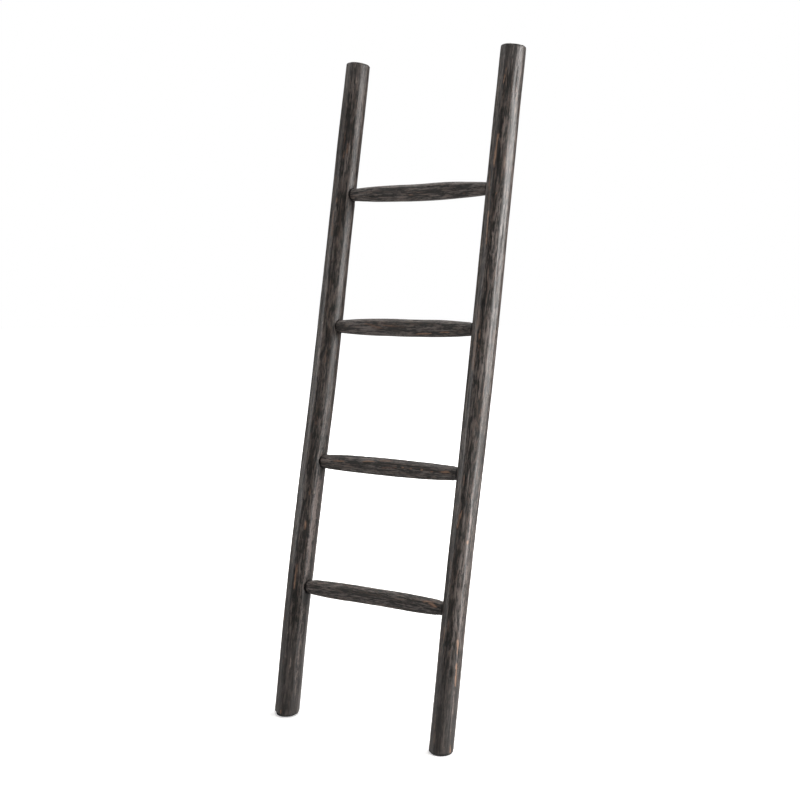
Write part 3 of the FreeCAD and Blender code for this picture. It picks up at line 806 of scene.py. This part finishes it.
def wood(name, across, rub, dull, ground):
    t = Tree(name)
    loc = t.attr("loc").outputs["Vector"]
    marks_node = t.attr("marks")
    form_node = t.attr("form")
    ms = t.nt.nodes.new("ShaderNodeSeparateColor")
    t.put(ms.inputs[0], marks_node.outputs["Color"])
    fs = t.nt.nodes.new("ShaderNodeSeparateColor")
    t.put(fs.inputs[0], form_node.outputs["Color"])
    m_tan, m_brown, m_pale_wear_and_highlight, m_dark = ms.outputs[0], ms.outputs[1], ms.outputs[2], marks_node.outputs["Alpha"]
    arris, cav, endg, joint_shade_and_dirt = fs.outputs[0], fs.outputs[1], fs.outputs[2], form_node.outputs["Alpha"]

    k = across
    fine = t.noise(t.stretch(loc, 430 * k, 430 * k, 46), 3.0, 0.66)
    streak = t.noise(t.stretch(loc, 260 * k, 260 * k, 19), 4.0, 0.64, 0.10)
    broad = t.noise(t.stretch(loc, 105 * k, 105 * k, 8.0), 3.0, 0.55, 0.15)
    blotch = t.noise(t.stretch(loc, 84, 84, 20.0), 4.0, 0.62, 0.15)
    pore = t.noise(t.stretch(loc, 1700, 1700, 110), 2.0, 0.5)
    cross = t.noise(t.stretch(loc, 330, 330, 120), 3.0, 0.62)

    # stained ground: dark, mid and grey-mauve streaks along the grain
    a = t.math("ADD", t.math("MULTIPLY", streak, 0.29), t.math("MULTIPLY", fine, 0.52))
    a = t.math("ADD", a, t.math("MULTIPLY", cross, 0.16))
    a = t.math("ADD", a, t.math("MULTIPLY", blotch, 0.08))
    base = t.mix(t.ramp(a, 0.503, 0.553), ground[0], ground[1])
    b = t.math("ADD", t.math("MULTIPLY", broad, 0.36), t.math("MULTIPLY", streak, 0.32))
    b = t.math("ADD", b, t.math("MULTIPLY", fine, 0.32))
    base = t.mix(t.ramp(b, 0.510, 0.600, 0.0, 0.80), base, ground[2])
    c = t.math("ADD", t.math("MULTIPLY", broad, -0.5), t.math("MULTIPLY", fine, 0.9))
    base = t.mix(t.ramp(c, 0.235, 0.345, 0.0, 0.42), base, BROWN)
    # stain lying thick: near-black patches with streaky edges
    d = t.math("ADD", t.math("MULTIPLY", blotch, 0.55), t.math("MULTIPLY", broad, 0.30))
    d = t.math("ADD", d, t.math("MULTIPLY", streak, 0.25))
    base = t.mix(t.ramp(d, 0.545, 0.512, 0.0, 0.52), base, ground[0])
    base = t.mix(t.ramp(pore, 0.60, 0.70, 0.0, 0.75), base, INK)
    even = t.math("MULTIPLY", t.attr("even").outputs["Fac"], t.ramp(streak, 0.36, 0.64, 0.36, 0.66))
    base = t.mix(even, base, (0.0690, 0.0625, 0.0590))
    # hairline checks that run with the grain
    hair = t.noise(t.stretch(loc, 120 * k, 120 * k, 4.2), 3.0, 0.5, 0.3)
    hair = t.math("ABSOLUTE", t.math("SUBTRACT", hair, 0.5))
    hair = t.math("MULTIPLY", t.ramp(hair, 0.0, 0.011, 1.0, 0.0), t.ramp(blotch, 0.49, 0.56))
    base = t.mix(t.math("MULTIPLY", hair, 0.85), base, INK)

    # rubbed arrises, broken up by the grain
    rubbing = t.math("MULTIPLY", arris, t.ramp(t.math("ADD", t.math("MULTIPLY", blotch, 0.7), t.math("MULTIPLY", streak, 0.5)), 0.56, 0.78))
    base = t.mix(t.math("MULTIPLY", rubbing, 0.55 * rub), base, PALE_WEAR_AND_HIGHLIGHT)
    tan_rub = t.math("MULTIPLY", arris, t.ramp(t.math("ADD", t.math("MULTIPLY", cross, 0.45), t.math("MULTIPLY", blotch, 0.7)), 0.70, 0.80))
    base = t.mix(t.math("MULTIPLY", tan_rub, 0.55 * rub), base, TAN)

    # the marks, streaky at their edges
    jag = t.math("ADD", t.math("MULTIPLY", fine, 0.30), t.math("MULTIPLY", streak, 0.35))
    jag = t.math("SUBTRACT", t.math("ADD", jag, t.math("MULTIPLY", cross, 0.45)), 0.55)

    def mask(m, lo, hi, break_up):
        v = t.math("ADD", m, t.math("MULTIPLY", jag, break_up))
        return t.math("MULTIPLY", t.ramp(v, lo, hi), t.ramp(m, 0.03, 0.14))
    # pale marks: worn edges, and the two wide bands on the left rail that are a painted highlight
    base = t.mix(t.math("MULTIPLY", mask(m_pale_wear_and_highlight, 0.22, 0.70, 2.4), 0.78), base, PALE_WEAR_AND_HIGHLIGHT)
    base = t.mix(t.math("MULTIPLY", mask(m_brown, 0.15, 0.70, 2.2), 0.80), base, BROWN)
    base = t.mix(t.math("MULTIPLY", mask(m_tan, 0.05, 0.45, 1.9), 0.65), base, BROWN)
    base = t.mix(t.math("MULTIPLY", mask(m_tan, 0.36, 0.84, 2.4), 0.80), base, TAN)
    base = t.mix(t.ramp(m_dark, 0.12, 0.75, 0.0, 0.85), base, INK)

    # end grain: two tones mixed by a distorted noise across the end
    sep = t.nt.nodes.new("ShaderNodeSeparateXYZ")
    t.put(sep.inputs[0], loc)
    ring = t.noise(t.stretch(loc, 260, 260, 0.0), 4.0, 0.6, 1.2)
    grain_end = t.mix(t.ramp(ring, 0.40, 0.60), (0.030, 0.026, 0.023), (0.085, 0.072, 0.064))
    base = t.mix(endg, base, grain_end)

    # painted shade and dirt in the low places, and painted shade round the mortise mouths and rung necks
    base = t.mix(t.ramp(cav, 0.15, 0.95, 0.0, 0.80), base, INK)
    base = t.mix(t.ramp(joint_shade_and_dirt, 0.25, 1.0, 0.0, 0.75), base, (0.006, 0.0055, 0.005))
    t.put(t.bsdf.inputs["Base Color"], base)

    rough = t.math("ADD", t.ramp(b, 0.46, 0.58, 0.47, 0.38), t.ramp(fine, 0.40, 0.60, -0.08, 0.15))
    rough = t.math("ADD", rough, t.math("MULTIPLY", cav, 0.22))
    rough = t.math("ADD", rough, t.math("MULTIPLY", m_tan, 0.16))
    rough = t.math("ADD", rough, dull)
    rough = t.math("ADD", rough, t.math("MULTIPLY", endg, 0.15), clamp=True)
    t.put(t.bsdf.inputs["Roughness"], rough)
    t.bsdf.inputs["Specular IOR Level"].default_value = 0.40
    t.bsdf.inputs["Coat Weight"].default_value = 0.60 - 1.5 * dull
    t.bsdf.inputs["Coat Roughness"].default_value = 0.36 + 1.25 * dull

    h = t.math("ADD", t.math("MULTIPLY", fine, 0.7), t.math("MULTIPLY", streak, 1.2))
    h = t.math("SUBTRACT", h, t.math("MULTIPLY", t.ramp(pore, 0.58, 0.72), 0.35))
    h = t.math("SUBTRACT", h, t.math("MULTIPLY", m_tan, 0.25))
    h = t.math("SUBTRACT", h, t.math("MULTIPLY", hair, 0.35))
    n1 = t.bump(h, 1.0, 0.00085)
    n2 = t.bump(t.math("ADD", cross, t.math("MULTIPLY", broad, 0.8)), 0.35, 0.0008, n1)
    t.put(t.bsdf.inputs["Normal"], n2)
    return t.mat


def rubber(name):
    t = Tree(name)
    loc = t.attr("loc").outputs["Vector"]
    speck = t.noise(t.stretch(loc, 900, 900, 900), 4.0, 0.6)
    cloud = t.noise(t.stretch(loc, 120, 120, 120), 3.0, 0.55)
    base = t.mix(t.ramp(speck, 0.38, 0.66), (0.0035, 0.0034, 0.0033), (0.0090, 0.0087, 0.0084))
    base = t.mix(t.ramp(cloud, 0.52, 0.74, 0.0, 0.5), base, (0.016, 0.015, 0.014))
    t.put(t.bsdf.inputs["Base Color"], base)
    t.put(t.bsdf.inputs["Roughness"], t.ramp(cloud, 0.3, 0.7, 0.72, 0.90))
    t.bsdf.inputs["Specular IOR Level"].default_value = 0.22
    t.put(t.bsdf.inputs["Normal"], t.bump(speck, 0.35, 0.0003))
    return t.mat


def steel(name):
    t = Tree(name)
    tc = t.nt.nodes.new("ShaderNodeTexCoord")
    vec = tc.outputs["Object"]
    scratch = t.noise(t.stretch(vec, 5200, 1500, 5200), 3.0, 0.6)
    tarnish = t.noise(t.stretch(vec, 700, 700, 700), 4.0, 0.6)
    base = t.mix(t.ramp(scratch, 0.35, 0.65), (0.20, 0.19, 0.18), (0.42, 0.40, 0.38))
    base = t.mix(t.ramp(tarnish, 0.48, 0.66, 0.0, 0.75), base, (0.060, 0.040, 0.028))
    t.put(t.bsdf.inputs["Base Color"], base)
    t.put(t.bsdf.inputs["Metallic"], t.ramp(tarnish, 0.48, 0.68, 1.0, 0.45))
    t.put(t.bsdf.inputs["Roughness"], t.ramp(tarnish, 0.4, 0.7, 0.34, 0.66))
    t.put(t.bsdf.inputs["Normal"], t.bump(scratch, 0.3, 0.0001))
    return t.mat


rail_wood = wood("rail_wood_finish", 1.0, 1.0, 0.0, (DARK, MID, MAUVE))
# the rungs take a lighter copy of the rail wood's ground: painted light that makes up for the sheen their duller,
# rougher coat gives up
rung_wood = wood("rung_wood_with_painted_sheen", 0.95, 1.0, 0.22,
                 ((0.0255, 0.0230, 0.0208), (0.1450, 0.1260, 0.1150), (0.2050, 0.1780, 0.1670)))
pad_rubber = rubber("foot_pad_finish")
brad_steel = steel("brad_steel_finish")

made = []
for name, side, table, places, arrises, seed in (
        ("left_rail", -1, LEFT_RAIL, LEFT_MARKS, LEFT_ARRISES, 101),
        ("right_rail", 1, RIGHT_RAIL, RIGHT_MARKS, RIGHT_ARRISES, 202)):
    ob = build_rail(name, side, table, places, arrises, seed)
    ob.data.materials.append(rail_wood)
    made.append(ob)
for k, (name, height, table) in enumerate(RUNGS):
    ob = build_rung(name, height, table, RUNG_MARKS[name], RUNG_ARRISES[name], 307 + 41 * k)
    ob.data.materials.append(rung_wood)
    made.append(ob)
for name, side, table in (("left_foot_pad", -1, LEFT_RAIL), ("right_foot_pad", 1, RIGHT_RAIL)):
    ob = build_pad(name, side, table)
    ob.data.materials.append(pad_rubber)
    made.append(ob)
for ob in made:
    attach(ob, "root")

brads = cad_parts["joint_brads"]
brads.data.materials.clear()
brads.data.materials.append(brad_steel)

# ------------------------------------------------------------------ floor, light, camera
def floor():
    ring = 96
    radii = [0.0, 0.6, 1.5, 3.0, 6.0, 12.0, 24.0]
    verts, faces = [(0.0, 0.0, 0.0)], []
    for rad in radii[1:]:
        for k in range(ring):
            a = 2 * math.pi * k / ring
            verts.append((rad * math.cos(a), rad * math.sin(a), 0.0))
    for k in range(ring):
        faces.append((0, 1 + k, 1 + (k + 1) % ring))
    for j in range(len(radii) - 2):
        o, p = 1 + j * ring, 1 + (j + 1) * ring
        for k in range(ring):
            faces.append((o + k, p + k, p + (k + 1) % ring, o + (k + 1) % ring))
    me = bpy.data.meshes.new("floor")
    me.from_pydata(verts, [], faces)
    ob = bpy.data.objects.new("floor", me)
    bpy.context.scene.collection.objects.link(ob)
    t = Tree("floor_finish")
    tc = t.nt.nodes.new("ShaderNodeTexCoord")
    cloud = t.noise(t.stretch(tc.outputs["Object"], 1.3, 1.3, 1.3), 3.0, 0.5)
    t.put(t.bsdf.inputs["Base Color"], t.mix(cloud, (0.90, 0.90, 0.90), (0.93, 0.93, 0.93)))
    t.put(t.bsdf.inputs["Roughness"], t.ramp(cloud, 0.3, 0.7, 0.85, 0.95))
    t.bsdf.inputs["Specular IOR Level"].default_value = 0.2
    t.bsdf.inputs["Emission Color"].default_value = (1, 1, 1, 1)
    far = t.nt.nodes.new("ShaderNodeVectorMath")
    far.operation = "LENGTH"
    t.put(far.inputs[0], tc.outputs["Object"])
    t.put(t.bsdf.inputs["Emission Strength"], t.ramp(far.outputs["Value"], 0.0, 2.6, 0.34, 1.20))
    me.materials.append(t.mat)
    ob.visible_diffuse = False
    ob.visible_glossy = False
    return ob


floor()


def softbox(name, where, aim, size_x, size_y, radiance, colour=(1.0, 0.980, 0.965)):
    data = bpy.data.lights.new(name, "AREA")
    data.shape = "RECTANGLE"
    data.size, data.size_y = size_x, size_y
    data.color = colour
    data.energy = radiance * math.pi * size_x * size_y
    ob = bpy.data.objects.new(name, data)
    bpy.context.scene.collection.objects.link(ob)
    from mathutils import Vector
    ob.location = where
    d = Vector(aim) - Vector(where)
    ob.rotation_euler = d.to_track_quat("-Z", "Y").to_euler()
    ob.visible_camera = False
    return ob


def around(azimuth, elevation, distance, height):
    a, e = math.radians(azimuth), math.radians(elevation)
    return (distance * math.cos(a) * math.cos(e), distance * math.sin(a) * math.cos(e), height + distance * math.sin(e))


# a tall strip to the right, leaning away at its foot, in three lengths
softbox("key_low", around(-4.5, 0, 2.0, 0.45), (0, 0, 0.45), 0.62, 0.72, 18.0)
softbox("key_mid", around(16.0, 0, 2.0, 1.15), (0, 0, 1.15), 0.48, 0.72, 17.6)
softbox("key_high", around(11.5, 0, 2.0, 1.87), (0, 0, 1.87), 0.62, 0.74, 20.4)
softbox("overhead", around(-90, 85, 5.0, 0.75), (0, 0, 0.75), 2.6, 2.6, 4.6)
softbox("fill_left", around(-150, 10, 5.0, 0.75), (0, 0, 0.75), 2.6, 2.6, 3.3)
softbox("high_left", around(180, 50, 5.0, 0.75), (0, 0, 0.75), 2.6, 2.6, 1.9)
softbox("high_back", around(90, 60, 5.0, 0.75), (0, 0, 0.75), 2.6, 2.6, 8.0)

world = bpy.data.worlds.new("studio")
bpy.context.scene.world = world
world.use_nodes = True
wn = world.node_tree
wn.nodes.clear()
w_out = wn.nodes.new("ShaderNodeOutputWorld")
w_mix = wn.nodes.new("ShaderNodeMixShader")
w_lit = wn.nodes.new("ShaderNodeBackground")
w_seen = wn.nodes.new("ShaderNodeBackground")
w_path = wn.nodes.new("ShaderNodeLightPath")
w_lit.inputs["Color"].default_value = (1.0, 0.980, 0.965, 1)
# what lights the ladder: dim above, and below it the white floor's bounce
w_tc = wn.nodes.new("ShaderNodeTexCoord")
w_sep = wn.nodes.new("ShaderNodeSeparateXYZ")
w_up = wn.nodes.new("ShaderNodeMapRange")
w_up.inputs["From Min"].default_value = -0.42
w_up.inputs["From Max"].default_value = -0.10
w_up.inputs["To Min"].default_value = 0.78
w_up.inputs["To Max"].default_value = 0.02
wn.links.new(w_tc.outputs["Generated"], w_sep.inputs[0])
wn.links.new(w_sep.outputs["Z"], w_up.inputs["Value"])
wn.links.new(w_up.outputs["Result"], w_lit.inputs["Strength"])
w_seen.inputs["Color"].default_value = (1, 1, 1, 1)
w_seen.inputs["Strength"].default_value = 1.0
wn.links.new(w_path.outputs["Is Camera Ray"], w_mix.inputs[0])
wn.links.new(w_lit.outputs[0], w_mix.inputs[1])
wn.links.new(w_seen.outputs[0], w_mix.inputs[2])
wn.links.new(w_mix.outputs[0], w_out.inputs["Surface"])

cam_data = bpy.data.cameras.new("camera")
cam = bpy.data.objects.new("camera", cam_data)
bpy.context.scene.collection.objects.link(cam)
cam_data.sensor_fit = "HORIZONTAL"
cam_data.sensor_width = 36.0
cam_data.lens = 45.693
cam_data.shift_x = -0.000625
cam_data.shift_y = 0.031875
cam_data.clip_start, cam_data.clip_end = 0.05, 100.0
cam.location = (1.13196, -1.97244, 0.96635)
cam.rotation_euler = (math.radians(90.0 - 7.6517), 0.0, math.radians(29.6423))
bpy.context.scene.camera = cam
bpy.context.scene.view_settings.view_transform = "Standard"
bpy.context.scene.view_settings.look = "None"

# ------------------------------------------------------------------ done
bpy.context.view_layer.update()
